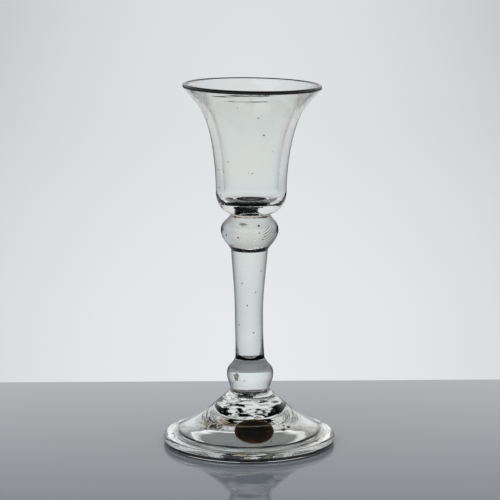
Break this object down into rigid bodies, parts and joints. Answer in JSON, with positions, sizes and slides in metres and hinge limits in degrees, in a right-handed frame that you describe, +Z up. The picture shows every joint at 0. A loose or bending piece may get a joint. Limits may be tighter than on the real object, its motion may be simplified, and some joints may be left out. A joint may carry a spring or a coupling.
{
  "type": "gin glass",
  "caption": "Small hand-made stemmed gin glass with a bell bowl, knopped solid stem and a high conical foot with a folded edge.",
  "frame": {"origin": "centre of the worn ring that the foot rests on, on the plane it stands on", "axes": "+Z up along the stem to the bowl's mouth; -Y towards the viewer who sees the label; +X to that viewer's right"},
  "size_m": [0.064, 0.064, 0.1344],
  "materials": {
    "clear_glass": "fire-polished clear glass with a faint grey-green tint, fine striae and small seeds",
    "broken_glass": "rough broken glass, left unpolished",
    "label_paper": "dark brown and dull gold coated paper, slightly glossy, worn"
  },
  "bodies": {
    "root": {"bowl": "clear_glass", "upper_knop": "clear_glass", "stem": "clear_glass", "lower_knop": "clear_glass", "foot": "clear_glass", "foot_fold": "clear_glass", "pontil_scar": "broken_glass", "oval_label": "label_paper"}
  },
  "joints": []
}
